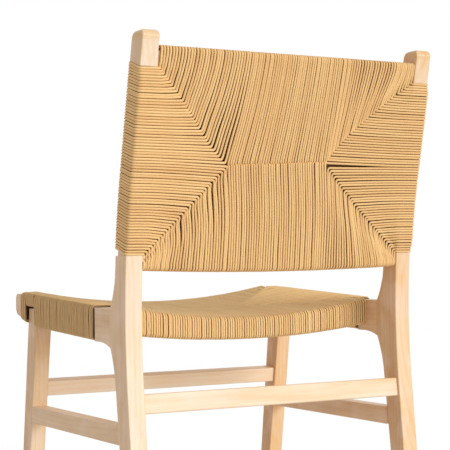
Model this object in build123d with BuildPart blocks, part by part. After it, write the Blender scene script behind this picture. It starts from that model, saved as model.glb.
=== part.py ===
from build123d import *
import math
import os

os.makedirs("parts", exist_ok=True)

# A dining chair: a pale hardwood frame with a seat and a back woven from paper cord.
# Millimetres. The sitter faces -Y, +X is the sitter's left, +Z is up, the floor is Z = 0.
# While the pieces are made, Y = 0 is where the two straight lines of a rear leg's back face cross.
# They are moved at the end, so that the origin is under the middle of the chair.

# ---------------------------------------------------------------- driving dimensions

# Rear legs, which run on upwards as the posts of the back
frame_width = 480.0  # over the outsides of the rear legs
post_width = 26.4
post_height = 824.0
post_depth = 32.9  # front to back, above the seat
post_rake = 0.215  # how far the back leans, per unit of height
post_splay = 0.101  # how far the foot goes back, per unit of height
bend_height = 487.3  # where the lean and the splay would cross
bend_half = 147.0  # half the height of the bend's curve
post_foot_depth = 28.0
flare_reach = 38.2  # how far the leg's front stands out at the seat
flare_rise = 54.3  # height of its swelling above the side rail
flare_fall = 54.0  # and below it
flare_low_depth = 36.4  # the leg's depth where the swelling ends
top_front_round = 14.0
top_rear_round = 9.0
top_side_round = 7.0
edge_ease = 2.0  # rounding of the wood's long edges

# Front legs
front_leg_width = 25.3
front_leg_inset = 5.3  # its outer side, in from the rear leg's
front_leg_setback = 8.4  # back of the foot, behind the seat's front
front_leg_rake = 0.1485
front_leg_foot_depth = 25.0
front_leg_top_depth = 34.0
front_leg_top_drop = 26.7  # top of the lap, below the seat's front edge
front_leg_shoulder_drop = 47.2

# Paper cord
cord = 3.9
cord_proud = 1.9  # how far the cord stands out of the bare wood beside it
wrap_edge_round = 3.0  # the wood's edges under the cord

# Seat: the heights are those of the cord over the rails
seat_rear = 63.0  # rear face of the seat's cord, forward of Y = 0
seat_depth = 320.0
seat_crest = 453.4  # at the rear
seat_rise = 15.0  # how much higher the front is
seat_dip = 21.5  # how far the front and rear rails bow down in the middle
seat_flare = 20.0  # width over which the lower strands rise from the side rails
side_rail_height = 50.8  # with the cord, at the rear
side_rail_growth = 0.4  # how much taller it is at the front
cross_rail_height = 40.5  # with the cord, at its ends
cross_rail_thinning = 7.5  # how much slimmer it is in the middle
cross_rail_depth = 18.0
side_wrap_start = 87.0  # where the cord starts on the side rails
nose_proud = 0.5  # how far the bare nose stands in front of the cord
nose_height = 31.4
nose_top_round = 8.0
nose_chin_round = 12.0
chin_length = 61.5  # length over which the rail's underside rises to the nose
block_height = 47.3  # of the bare end beside the rear leg
block_curve = 32.8  # length of the curve under it, beside the leg
block_toe_drop = 6.4  # how far that curve comes down to the leg

# Back
top_bare = 49.0  # bare post above the cord
bottom_bare = 72.8  # bare post between the side rail and the cord
top_rail_height = 23.2
bottom_rail_height = 16.8  # at its ends
bottom_rail_bow = 4.5
sheet_inset = 0.1  # outer side of the upright strands, in from the posts' faces
rail_edge_round = 4.0

# Stretchers
rear_stretcher_height = 27.2
rear_stretcher_depth = 23.0
rear_stretcher_middle = 320.6
rear_stretcher_inset = 3.8
front_stretcher_height = 23.6
front_stretcher_depth = 22.0
front_stretcher_middle = 317.3
front_stretcher_inset = 4.2
side_stretcher_low = 263.2
side_stretcher_high = 289.2
tenon_length = 14.0
tenon_cheek = 5.0  # wood left above and below a tenon
tenon_side = 6.0  # wood left on each side of a tenon

# Joints and hardware
fit = 0.1  # glue line round a tenon or a dowel, and at its end
lap_gap = 2.0  # open space in front of a front leg's lap
lap_head_gap = 3.5  # open space over it, where the cord turns in
lap_thickness = 12.6
dowel_diameter = 10.0
dowel_length = 50.0
dowel_spacing = 20.0
pin_diameter = 8.0
pin_length = 36.0
pin_in_leg = 15.0
pin_spacing = 12.0
glide_height = 4.0
glide_diameter = 19.0
glide_edge = 1.5
glide_nail_diameter = 2.2
glide_nail_length = 14.0
tack_head_diameter = 6.0
tack_head_height = 1.0
tack_shank_diameter = 1.6
tack_shank_length = 11.0
tack_from_rail = 25.0  # how far a tack sits from the rail where its cord starts

# ---------------------------------------------------------------- worked-out values

outside = frame_width / 2
inside = outside - post_width
cord_outside = outside + cord_proud
core_outside = cord_outside - cord
core_inset = cord - cord_proud
cord_edge_round = wrap_edge_round + cord
front_leg_outside = outside - front_leg_inset
front_leg_inside = front_leg_outside - front_leg_width
lap_inside = front_leg_outside - lap_thickness
foot = glide_height
bend_low = bend_height - bend_half
bend_high = bend_height + bend_half
seat_front = seat_rear + seat_depth
side_wrap_end = seat_front - cord - cross_rail_depth
seat_middle = (side_wrap_start + side_wrap_end) / 2
seat_seam = inside - (side_wrap_end - side_wrap_start) / 2
nose_reach = seat_front + nose_proud
chin_start = nose_reach - chin_length
far = frame_width  # longer than any piece that it cuts


def back_face(height):
    """Y of a rear leg's back face: two straight lines joined by a parabola."""
    above = height - bend_height
    if above > bend_half:
        return post_rake * above
    if above < -bend_half:
        return -post_splay * above
    up = post_rake * (above + bend_half) ** 2
    down = post_splay * (bend_half - above) ** 2
    return (up + down) / (4 * bend_half)


def back_slope(height):
    above = max(-bend_half, min(bend_half, height - bend_height))
    return (post_rake * (above + bend_half) - post_splay * (bend_half - above)) / (2 * bend_half)


def crest(forward):
    """Height of the cord over the side rails, at a distance forward of Y = 0."""
    return seat_crest + seat_rise * (forward - seat_rear) / seat_depth


def underside(forward):
    """Height of the cord under the side rails."""
    growth = side_rail_growth * (forward - seat_rear) / seat_depth
    return crest(forward) - side_rail_height - growth


nose_top = crest(nose_reach) - cord
nose_chin = nose_top - nose_height
block_top = crest(side_wrap_start) - cord
block_bottom = block_top - block_height
block_toe = block_bottom - block_toe_drop
flare_top = block_top + flare_rise
flare_low = block_toe - flare_fall
front_leg_top = crest(seat_front) - front_leg_top_drop
front_leg_shoulder = crest(seat_front) - front_leg_shoulder_drop
seat_floor = block_toe - 2 * cord  # two levels clear of the seat's rails
seat_ceiling = crest(seat_front) + 2 * cord

# The cord goes round the posts from bottom_wrap to top_wrap
top_wrap = post_height - top_bare
bottom_wrap = block_top + bottom_bare
back_middle = (top_wrap + bottom_wrap) / 2
back_seam = inside - (top_wrap - bottom_wrap) / 2
back_rail_inset = sheet_inset + cord
back_rail_top = top_wrap + top_rail_height
back_rail_low = bottom_wrap - bottom_rail_height


def chin(forward):
    """Height of the wood under the side rail's front end, which rises towards the nose."""
    start = underside(chin_start) + cord
    return start + (forward - chin_start) / chin_length * (nose_chin - start)


def lower_front(height):
    """Y of a rear leg's front face below the flare."""
    at_foot = back_face(foot) - post_foot_depth
    at_flare = back_face(flare_low) - flare_low_depth
    return at_foot + (at_flare - at_foot) * (height - foot) / (flare_low - foot)


def front_leg_back(height):
    return front_leg_rake * height - seat_front + front_leg_setback


def front_leg_front(height):
    taper = (front_leg_top_depth - front_leg_foot_depth) / front_leg_top
    return front_leg_back(height) - front_leg_foot_depth - taper * height


# Places of the dowels and pins
post_middle = outside - post_width / 2
dowel_middle = (block_top + block_bottom) / 2
dowel_heights = [dowel_middle + s * dowel_spacing / 2 for s in (-1, 1)]
rear_rail_y = -(seat_rear + cord + cross_rail_depth / 2)
front_rail_y = -(seat_front - cord - cross_rail_depth / 2)
cross_rail_places = [(y, crest(-y) - cross_rail_height / 2) for y in (rear_rail_y, front_rail_y)]
back_rail_heights = (top_wrap + top_rail_height / 2, bottom_wrap - bottom_rail_height / 2)
back_rail_places = [(back_face(z) - post_depth / 2, z) for z in back_rail_heights]
seat_pins = [(y, z + s * pin_spacing / 2) for y, z in cross_rail_places for s in (-1, 1)]
back_pins = [(y + s * pin_spacing / 2, z) for y, z in back_rail_places for s in (-1, 1)]

# ---------------------------------------------------------------- shapes that the pieces share


def face_edges(low, high, forward):
    """The back face's curve between two heights, moved forward, for a sketch seen from the side."""
    stops = [low] + [z for z in (bend_low, bend_high) if low < z < high] + [high]
    for start, end in zip(stops, stops[1:]):
        first = (back_face(start) - forward, start)
        last = (back_face(end) - forward, end)
        if start >= bend_low and end <= bend_high:
            half = (end - start) / 2
            Bezier(first, (first[0] + back_slope(start) * half, start + half), last)
        else:
            Line(first, last)


def post_block(start, end, low, high, inset, behind=0.0):
    """A block with a post's faces, moved in by the inset, between two X and two heights.

    Its back face stands out further by the last value.
    """
    rear = inset - behind
    front = post_depth - inset
    with BuildPart() as block:
        with BuildSketch(Plane.YZ.offset(start)):
            with BuildLine():
                face_edges(low, high, rear)
                face_edges(low, high, front)
                Line((back_face(low) - rear, low), (back_face(low) - front, low))
                Line((back_face(high) - rear, high), (back_face(high) - front, high))
            make_face()
        extrude(amount=end - start)
    return block.part


def side_block(points, start, end):
    """A block with this outline seen from the side, between two X."""
    with BuildPart() as block:
        with BuildSketch(Plane.YZ.offset(start)):
            Polygon(*points, align=None)
        extrude(amount=end - start)
    return block.part


def plan_block(points):
    """An upright block with this plan, tall enough to cut right through the seat."""
    with BuildPart() as block:
        with BuildSketch(Plane.XY.offset(seat_floor)):
            Polygon(*points, align=None)
        extrude(amount=seat_ceiling - seat_floor)
    return block.part


def plan_rectangle(start, end, near, deep):
    """Corners of a rectangle seen from above, between two X and two distances forward."""
    return [(start, -near), (end, -near), (end, -deep), (start, -deep)]


def front_block(points):
    """A level block with this outline seen from the front, deep enough to cut through the back."""
    with BuildPart() as block:
        with BuildSketch(Plane.XZ):
            Polygon(*points, align=None)
        extrude(amount=far, both=True)
    return block.part


def rods(plane, places, diameter, length):
    """Round rods that stand on a plane."""
    with BuildPart() as group:
        with BuildSketch(plane):
            with Locations(*places):
                Circle(diameter / 2)
        extrude(amount=length)
    return group.part


def long_edges(face, axis):
    """The face's edges that run mostly along an axis."""
    return face.edges().filter_by(lambda edge: abs(edge.tangent_at(0.5).dot(axis.direction)) > 0.9)


# ---------------------------------------------------------------- dowels and pins


def side_dowels(room):
    """The two dowels from the left side rail into the left rear leg, larger by the room."""
    plane = Plane.XZ.offset(flare_reach - dowel_length / 2 - room)
    places = [(post_middle, z) for z in dowel_heights]
    return rods(plane, places, dowel_diameter + 2 * room, dowel_length + 2 * room)


def end_pins(places, room):
    """The pins at the left end of the cross rails, larger by the room."""
    plane = Plane.YZ.offset(inside + pin_in_leg - pin_length - room)
    return rods(plane, places, pin_diameter + 2 * room, pin_length + 2 * room)


with BuildPart() as seat_rail_dowels:
    add(side_dowels(0))
    mirror(about=Plane.YZ)

with BuildPart() as cross_rail_dowels:
    add(end_pins(seat_pins, 0))
    mirror(about=Plane.YZ)

with BuildPart() as back_rail_dowels:
    add(end_pins(back_pins, 0))
    mirror(about=Plane.YZ)

# ---------------------------------------------------------------- glides and tacks

rear_foot = (post_middle, (back_face(foot) + lower_front(foot)) / 2)
front_foot_y = (front_leg_back(foot) + front_leg_front(foot)) / 2
front_foot = ((front_leg_outside + front_leg_inside) / 2, front_foot_y)

with BuildPart() as foot_glides:
    with BuildSketch():
        with Locations(rear_foot, front_foot):
            Circle(glide_diameter / 2)
    extrude(amount=glide_height)
    chamfer(foot_glides.faces().sort_by(Axis.Z)[:2].edges(), glide_edge)
    add(rods(Plane.XY.offset(foot), [rear_foot, front_foot], glide_nail_diameter, glide_nail_length))
    mirror(about=Plane.YZ)

seat_tack_y = -side_wrap_start - tack_from_rail
back_tack_height = top_wrap - tack_from_rail
tack_places = [
    (seat_tack_y, crest(-seat_tack_y) - cross_rail_height / 2),
    (back_face(back_tack_height) - post_depth / 2, back_tack_height),
]

with BuildPart() as cord_tacks:
    add(rods(Plane.YZ.offset(inside), tack_places, tack_shank_diameter, tack_shank_length))
    head_plane = Plane.YZ.offset(inside - tack_head_height)
    add(rods(head_plane, tack_places, tack_head_diameter, tack_head_height))
    mirror(about=Plane.YZ)

# ---------------------------------------------------------------- stretchers


def tilted_plane(y, z, slope):
    """The plane across a stretcher that tilts with legs of this slope."""
    angle = math.atan(slope)
    return Plane(origin=(0, y, z), x_dir=(0, math.cos(angle), -math.sin(angle)), z_dir=(1, 0, 0))


rear_stretcher_y = back_face(rear_stretcher_middle) - rear_stretcher_inset - rear_stretcher_depth / 2
rear_section = tilted_plane(rear_stretcher_y, rear_stretcher_middle, -post_splay)
front_stretcher_back = front_leg_back(front_stretcher_middle) - front_stretcher_inset
front_stretcher_y = front_stretcher_back - front_stretcher_depth / 2
front_section = tilted_plane(front_stretcher_y, front_stretcher_middle, front_leg_rake)


def cross_tenons(section, depth, height, half, room):
    """The bar whose two ends are a cross stretcher's tenons, larger by the room."""
    with BuildPart() as bar:
        with BuildSketch(section):
            Rectangle(depth - 2 * tenon_side + 2 * room, height - 2 * tenon_cheek + 2 * room)
        extrude(amount=half + tenon_length + room, both=True)
    return bar.part


def cross_stretcher(section, depth, height, half):
    with BuildPart() as stretcher:
        with BuildSketch(section):
            Rectangle(depth, height)
        extrude(amount=half, both=True)
        fillet(stretcher.edges().filter_by(Axis.X), edge_ease)
        add(cross_tenons(section, depth, height, half, 0))
    return stretcher.part


def side_tenons(room):
    """The bar whose two ends are the left side stretcher's tenons, larger by the room."""
    middle = (side_stretcher_low + side_stretcher_high) / 2
    front = front_leg_back(middle) - tenon_length - room
    rear = lower_front(middle) + tenon_length + room
    low = side_stretcher_low + tenon_cheek - room
    high = side_stretcher_high - tenon_cheek + room
    outline = [(front, low), (rear, low), (rear, high), (front, high)]
    return side_block(outline, front_leg_inside + tenon_side - room, front_leg_outside - tenon_side + room)


with BuildPart() as rear_stretcher:
    add(cross_stretcher(rear_section, rear_stretcher_depth, rear_stretcher_height, inside))

with BuildPart() as front_stretcher:
    add(cross_stretcher(front_section, front_stretcher_depth, front_stretcher_height, front_leg_inside))

with BuildPart() as left_side_stretcher:
    side_outline = [
        (front_leg_back(side_stretcher_low), side_stretcher_low),
        (lower_front(side_stretcher_low), side_stretcher_low),
        (lower_front(side_stretcher_high), side_stretcher_high),
        (front_leg_back(side_stretcher_high), side_stretcher_high),
    ]
    add(side_block(side_outline, front_leg_inside, front_leg_outside))
    fillet(left_side_stretcher.edges().filter_by(Axis.Y), edge_ease)
    add(side_tenons(0))

with BuildPart() as right_side_stretcher:
    mirror(left_side_stretcher.part, about=Plane.YZ)

# ---------------------------------------------------------------- legs

with BuildPart() as post_core:
    # The wood of a post under its cord
    add(post_block(inside, core_outside, bottom_wrap, top_wrap, core_inset))
    fillet(long_edges(post_core.faces().sort_by(Axis.X)[-1], Axis.Z), wrap_edge_round)

with BuildPart() as leg_blank:
    # What a rear leg is cut from, its top corners rounded as seen from behind
    with BuildSketch(Plane.XZ) as rear_view:
        Polygon((inside, 0), (inside, post_height), (outside, post_height), (outside, 0), align=None)
        fillet(rear_view.vertices().group_by(Axis.Y)[-1], top_side_round)
    extrude(amount=far, both=True)

with BuildPart() as left_rear_leg:
    with BuildSketch(Plane.YZ.offset(inside)) as leg_view:
        with BuildLine():
            face_edges(foot, post_height, 0)
            face_edges(flare_top, post_height, post_depth)
            top_back = back_face(post_height)
            Line((top_back, post_height), (top_back - post_depth, post_height))
            flare_start = (back_face(flare_top) - post_depth, flare_top)
            TangentArc(flare_start, (-flare_reach, block_top), tangent=(-back_slope(flare_top), -1))
            Line((-flare_reach, block_top), (-flare_reach, block_toe))
            flare_end = (lower_front(flare_low), flare_low)
            foot_front = (lower_front(foot), foot)
            rise = (flare_end[0] - foot_front[0], flare_end[1] - foot_front[1])
            TangentArc(flare_end, (-flare_reach, block_toe), tangent=rise)
            Line(flare_end, foot_front)
            Line(foot_front, (back_face(foot), foot))
        make_face()
        fillet(leg_view.vertices().group_by(Axis.Y)[-1].sort_by(Axis.X)[0], top_front_round)
        fillet(leg_view.vertices().group_by(Axis.Y)[-1].sort_by(Axis.X)[-1], top_rear_round)
    extrude(amount=post_width)
    flanks = left_rear_leg.faces().filter_by(Axis.X)
    eased = [edge for flank in flanks for edge in long_edges(flank, Axis.Z)]
    # The edges beside the side rail's end stay sharp
    fillet([edge for edge in eased if abs(edge.center().Y + flare_reach) > edge_ease], edge_ease)
    add(leg_blank.part, mode=Mode.INTERSECT)
    wrapped = [(0, bottom_wrap), (far, bottom_wrap), (far, top_wrap), (0, top_wrap)]
    add(front_block(wrapped), mode=Mode.SUBTRACT)
    add(post_core.part)
    add(side_dowels(fit), mode=Mode.SUBTRACT)
    add(end_pins(back_pins, fit), mode=Mode.SUBTRACT)
    rear_tenons = (rear_section, rear_stretcher_depth, rear_stretcher_height, inside, fit)
    add(cross_tenons(*rear_tenons), mode=Mode.SUBTRACT)
    add(side_tenons(fit), mode=Mode.SUBTRACT)
    add(foot_glides.part, mode=Mode.SUBTRACT)
    add(cord_tacks.part, mode=Mode.SUBTRACT)

with BuildPart() as right_rear_leg:
    mirror(left_rear_leg.part, about=Plane.YZ)

with BuildPart() as left_front_leg:
    leg_outline = [
        (front_leg_back(foot), foot),
        (front_leg_back(front_leg_top), front_leg_top),
        (front_leg_front(front_leg_top), front_leg_top),
        (front_leg_front(foot), foot),
    ]
    add(side_block(leg_outline, front_leg_inside, front_leg_outside))
    flanks = left_front_leg.faces().filter_by(Axis.X)
    fillet([edge for flank in flanks for edge in long_edges(flank, Axis.Z)], edge_ease)
    shoulder_outline = [
        (-far, front_leg_shoulder),
        (0, front_leg_shoulder),
        (0, seat_ceiling),
        (-far, seat_ceiling),
    ]
    add(side_block(shoulder_outline, 0, lap_inside), mode=Mode.SUBTRACT)
    front_tenons = (front_section, front_stretcher_depth, front_stretcher_height, front_leg_inside, fit)
    add(cross_tenons(*front_tenons), mode=Mode.SUBTRACT)
    add(side_tenons(fit), mode=Mode.SUBTRACT)
    add(foot_glides.part, mode=Mode.SUBTRACT)

with BuildPart() as right_front_leg:
    mirror(left_front_leg.part, about=Plane.YZ)

# ---------------------------------------------------------------- seat: blocks that rails and cord share


def bow(x, dip):
    """How far a rail that dips this much in the middle lies below its ends."""
    return dip * (1 - (x / inside) ** 2)


def side_view(forward, inset):
    """The woven seat cut across, out to its sides: flat over the side rails, bowed between them."""
    top = crest(forward) - inset
    bottom = underside(forward) + inset
    sheet = crest(forward) - cross_rail_height + inset
    dip = seat_dip - cross_rail_thinning
    wide = cord_outside - inset
    flare = inside - seat_flare
    flare_height = sheet - bow(flare, dip)
    with BuildSketch(Plane.XZ.offset(forward)) as view:
        with BuildLine():
            Line((-wide, top), (-inside, top))
            ThreePointArc((-inside, top), (0, top - seat_dip), (inside, top))
            Polyline((inside, top), (wide, top), (wide, bottom), (inside, bottom), (flare, flare_height))
            ThreePointArc((flare, flare_height), (0, sheet - dip), (-flare, flare_height))
            Polyline((-flare, flare_height), (-inside, bottom), (-wide, bottom), (-wide, top))
        make_face()
    return view.sketch


def cross_view(forward, inset):
    """The woven seat cut across between its side rails."""
    top = crest(forward) - inset
    bottom = crest(forward) - cross_rail_height + inset
    dip = seat_dip - cross_rail_thinning
    with BuildSketch(Plane.XZ.offset(forward)) as view:
        with BuildLine():
            ThreePointArc((-inside, top), (0, top - seat_dip), (inside, top))
            Line((inside, top), (inside, bottom))
            ThreePointArc((inside, bottom), (0, bottom - dip), (-inside, bottom))
            Line((-inside, bottom), (-inside, top))
        make_face()
    return view.sketch


def seat_block(view, inset):
    """The seat as one block with such sections, its faces moved in by the inset."""
    with BuildPart() as block:
        loft([view(seat_rear + inset, inset), view(seat_front - inset, inset)], ruled=True)
    return block.part


def chin_cut(drop):
    """What is cut away under the seat's front corner, its slope lowered by the drop."""
    outline = [
        (-chin_start, chin(chin_start) - drop),
        (-nose_reach, chin(nose_reach) - drop),
        (-nose_reach, seat_floor),
        (-chin_start, seat_floor),
    ]
    return side_block(outline, inside - seat_flare, far)


def leg_room():
    """The room of a front leg's top in the seat: its lap with the slots round it, and its shoulder."""
    top = front_leg_top + lap_head_gap
    lap = [
        (front_leg_back(seat_floor), seat_floor),
        (front_leg_back(top), top),
        (front_leg_front(top) - lap_gap, top),
        (front_leg_front(seat_floor) - lap_gap, seat_floor),
    ]
    shoulder = [
        (front_leg_back(seat_floor), seat_floor),
        (front_leg_back(front_leg_shoulder), front_leg_shoulder),
        (front_leg_front(front_leg_shoulder), front_leg_shoulder),
        (front_leg_front(seat_floor), seat_floor),
    ]
    with BuildPart() as room:
        add(side_block(lap, lap_inside, far))
        add(side_block(shoulder, front_leg_inside, lap_inside))
    return room.part


pocket_plan = plan_rectangle(-inside, inside, seat_rear + cord + cross_rail_depth, side_wrap_end)

with BuildPart() as side_pocket:
    # The hollow between the upper and the lower strands, as the side fields bound it
    add(seat_block(side_view, cord))
    add(plan_block(pocket_plan), mode=Mode.INTERSECT)
    add(chin_cut(0), mode=Mode.SUBTRACT)
    right_chin = mirror(chin_cut(0), about=Plane.YZ, mode=Mode.PRIVATE)
    add(right_chin, mode=Mode.SUBTRACT)

with BuildPart() as cross_pocket:
    # The same hollow, as the front and rear fields bound it
    add(seat_block(cross_view, cord))
    add(plan_block(pocket_plan), mode=Mode.INTERSECT)

with BuildPart() as side_core:
    # The wood of a side rail under its cord
    add(seat_block(side_view, cord))
    wrap_plan = plan_rectangle(inside, far, side_wrap_start, side_wrap_end)
    add(plan_block(wrap_plan), mode=Mode.INTERSECT)
    add(chin_cut(0), mode=Mode.SUBTRACT)
    fillet(long_edges(side_core.faces().sort_by(Axis.X)[-1], Axis.Y), wrap_edge_round)


def cross_rail(middle):
    """A front or rear rail without its pin holes, as it lies under the cord."""
    with BuildPart() as rail:
        add(seat_block(cross_view, cord))
        half = cross_rail_depth / 2
        rail_plan = plan_rectangle(-inside, inside, -middle - half, -middle + half)
        add(plan_block(rail_plan), mode=Mode.INTERSECT)
        cheeks = rail.faces().sort_by(Axis.Y)
        fillet(long_edges(cheeks[0], Axis.X) + long_edges(cheeks[-1], Axis.X), wrap_edge_round)
    return rail.part


def cross_cord(plan, outer, rail):
    """A front or rear field of cord; outer picks its outer face along Y."""
    with BuildPart() as field:
        add(seat_block(cross_view, 0))
        add(plan_block(plan), mode=Mode.INTERSECT)
        fillet(long_edges(field.faces().sort_by(Axis.Y)[outer], Axis.X), cord_edge_round)
        add(cross_pocket.part, mode=Mode.SUBTRACT)
        add(rail, mode=Mode.SUBTRACT)
    return field.part


# ---------------------------------------------------------------- seat: rails

pins_both_ends = [end_pins(seat_pins, fit), mirror(end_pins(seat_pins, fit), about=Plane.YZ)]

with BuildPart() as rear_seat_rail:
    add(cross_rail(rear_rail_y))
    add(pins_both_ends, mode=Mode.SUBTRACT)

with BuildPart() as front_seat_rail:
    add(cross_rail(front_rail_y))
    add(pins_both_ends, mode=Mode.SUBTRACT)

with BuildPart() as left_seat_rail:
    add(side_core.part)
    with BuildSketch(Plane.YZ.offset(inside)):
        # Bare end that butts on the rear leg
        with BuildLine():
            block_heel = (-flare_reach - block_curve, block_bottom)
            TangentArc(block_heel, (-flare_reach, block_toe), tangent=(1, 0))
            Polyline(
                (-flare_reach, block_toe),
                (-flare_reach, block_top),
                (-side_wrap_start, block_top),
                (-side_wrap_start, block_bottom),
                block_heel,
            )
        make_face()
    extrude(amount=post_width)
    with BuildSketch(Plane.YZ.offset(inside)) as nose_view:
        # Bare nose in front of the cord
        Polygon(
            (-side_wrap_end, crest(side_wrap_end) - cord),
            (-nose_reach, nose_top),
            (-nose_reach, nose_chin),
            (-side_wrap_end, chin(side_wrap_end)),
            align=None,
        )
        fillet(nose_view.vertices().group_by(Axis.X)[0].sort_by(Axis.Y)[-1], nose_top_round)
        fillet(nose_view.vertices().group_by(Axis.X)[0].sort_by(Axis.Y)[0], nose_chin_round)
    extrude(amount=post_width)
    add(leg_room(), mode=Mode.SUBTRACT)
    add(side_dowels(fit), mode=Mode.SUBTRACT)
    add(end_pins(seat_pins, fit), mode=Mode.SUBTRACT)
    add(cord_tacks.part, mode=Mode.SUBTRACT)

with BuildPart() as right_seat_rail:
    mirror(left_seat_rail.part, about=Plane.YZ)

# ---------------------------------------------------------------- seat: cord

with BuildPart() as seat_cord_left:
    left_plan = [
        (inside, -side_wrap_start),
        (seat_seam, -seat_middle),
        (inside, -side_wrap_end),
        (far, -side_wrap_end),
        (far, -side_wrap_start),
    ]
    add(seat_block(side_view, 0))
    add(plan_block(left_plan), mode=Mode.INTERSECT)
    add(chin_cut(cord), mode=Mode.SUBTRACT)
    fillet(long_edges(seat_cord_left.faces().sort_by(Axis.X)[-1], Axis.Y), cord_edge_round)
    add(side_pocket.part, mode=Mode.SUBTRACT)
    add(side_core.part, mode=Mode.SUBTRACT)
    add(leg_room(), mode=Mode.SUBTRACT)

with BuildPart() as seat_cord_right:
    mirror(seat_cord_left.part, about=Plane.YZ)


def cross_plan(start, outer):
    """Plan of a front or rear field, from the wrap's end on the side rails to beyond its rail."""
    left = [(inside, outer), (inside, -start), (seat_seam, -seat_middle)]
    return left + [(-x, y) for x, y in reversed(left)]


with BuildPart() as seat_cord_rear:
    add(cross_cord(cross_plan(side_wrap_start, 0), -1, cross_rail(rear_rail_y)))

with BuildPart() as seat_cord_front:
    add(cross_cord(cross_plan(side_wrap_end, -far), 0, cross_rail(front_rail_y)))

# ---------------------------------------------------------------- back: rails


def bow_cut(level):
    """What is cut away under the back, which bows down from this level at its ends."""
    with BuildPart() as cut:
        with BuildSketch(Plane.XZ):
            with BuildLine():
                ThreePointArc((-inside, level), (0, level - bottom_rail_bow), (inside, level))
                floor = level - far
                Polyline((inside, level), (inside, floor), (-inside, floor), (-inside, level))
            make_face()
        extrude(amount=far, both=True)
    return cut.part


def top_block(top, low, inset, edge_round):
    """The back's upper part, its top edges rounded."""
    with BuildPart() as block:
        add(post_block(-inside, inside, low, top, inset))
        fillet(long_edges(block.faces().sort_by(Axis.Z)[-1], Axis.X), edge_round)
    return block.part


def bottom_block(level, high, inset, edge_round):
    """The back's lower part, its bottom bowed down from the level and its edges rounded."""
    with BuildPart() as block:
        add(post_block(-inside, inside, level - 2 * bottom_rail_bow, high, inset))
        add(bow_cut(level), mode=Mode.SUBTRACT)
        fillet(long_edges(block.faces().sort_by(Axis.Z)[0], Axis.X), edge_round)
    return block.part


top_rail_blank = top_block(back_rail_top, top_wrap, back_rail_inset, rail_edge_round)
bottom_rail_blank = bottom_block(back_rail_low, bottom_wrap, back_rail_inset, rail_edge_round)
back_pin_holes = [end_pins(back_pins, fit), mirror(end_pins(back_pins, fit), about=Plane.YZ)]

with BuildPart() as back_top_rail:
    add(top_rail_blank)
    add(back_pin_holes, mode=Mode.SUBTRACT)

with BuildPart() as back_bottom_rail:
    add(bottom_rail_blank)
    add(back_pin_holes, mode=Mode.SUBTRACT)

# ---------------------------------------------------------------- back: cord

back_pocket = post_block(-inside, inside, bottom_wrap, top_wrap, back_rail_inset)

with BuildPart() as back_cord_left:
    # Behind the posts the cord lies in two layers
    add(post_block(inside - cord, cord_outside, bottom_wrap, top_wrap, -cord_proud, cord))
    fillet(long_edges(back_cord_left.faces().sort_by(Axis.X)[-1], Axis.Z), cord_edge_round)
    add(post_block(back_seam, inside, bottom_wrap, top_wrap, sheet_inset))
    left_field = [
        (inside, top_wrap),
        (back_seam, back_middle),
        (inside, bottom_wrap),
        (far, bottom_wrap),
        (far, top_wrap),
    ]
    add(front_block(left_field), mode=Mode.INTERSECT)
    add(back_pocket, mode=Mode.SUBTRACT)
    add(post_core.part, mode=Mode.SUBTRACT)

with BuildPart() as back_cord_right:
    mirror(back_cord_left.part, about=Plane.YZ)


def upright_field(start, outer):
    """Outline of the top or bottom field, from the wrap's end on the posts to beyond its rail."""
    left = [(inside, outer), (inside, start), (back_seam, back_middle)]
    return left + [(-x, z) for x, z in reversed(left)]


with BuildPart() as back_cord_top:
    add(top_block(back_rail_top + cord, back_middle, sheet_inset, rail_edge_round + cord))
    add(front_block(upright_field(top_wrap, back_rail_top + 2 * cord)), mode=Mode.INTERSECT)
    add(back_pocket, mode=Mode.SUBTRACT)
    add(top_rail_blank, mode=Mode.SUBTRACT)

with BuildPart() as back_cord_bottom:
    add(bottom_block(back_rail_low - cord, back_middle, sheet_inset, rail_edge_round + cord))
    add(front_block(upright_field(bottom_wrap, 0)), mode=Mode.INTERSECT)
    add(back_pocket, mode=Mode.SUBTRACT)
    add(bottom_rail_blank, mode=Mode.SUBTRACT)

# ---------------------------------------------------------------- place and write the pieces

pieces = {
    "left_rear_leg": left_rear_leg,
    "right_rear_leg": right_rear_leg,
    "left_front_leg": left_front_leg,
    "right_front_leg": right_front_leg,
    "left_seat_rail": left_seat_rail,
    "right_seat_rail": right_seat_rail,
    "rear_seat_rail": rear_seat_rail,
    "front_seat_rail": front_seat_rail,
    "back_top_rail": back_top_rail,
    "back_bottom_rail": back_bottom_rail,
    "rear_stretcher": rear_stretcher,
    "front_stretcher": front_stretcher,
    "left_side_stretcher": left_side_stretcher,
    "right_side_stretcher": right_side_stretcher,
    "seat_cord_left": seat_cord_left,
    "seat_cord_right": seat_cord_right,
    "seat_cord_rear": seat_cord_rear,
    "seat_cord_front": seat_cord_front,
    "back_cord_left": back_cord_left,
    "back_cord_right": back_cord_right,
    "back_cord_top": back_cord_top,
    "back_cord_bottom": back_cord_bottom,
    "seat_rail_dowels": seat_rail_dowels,
    "cross_rail_dowels": cross_rail_dowels,
    "back_rail_dowels": back_rail_dowels,
    "foot_glides": foot_glides,
    "cord_tacks": cord_tacks,
}

boxes = [piece.part.bounding_box() for piece in pieces.values()]
middle_y = (min(box.min.Y for box in boxes) + max(box.max.Y for box in boxes)) / 2

for name, piece in pieces.items():
    placed = piece.part.moved(Location((0, -middle_y, 0)))
    placed.label = name
    export_step(placed, f"parts/{name}.step")
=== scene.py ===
import math

import bpy
import numpy as np
from mathutils import Matrix


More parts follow.
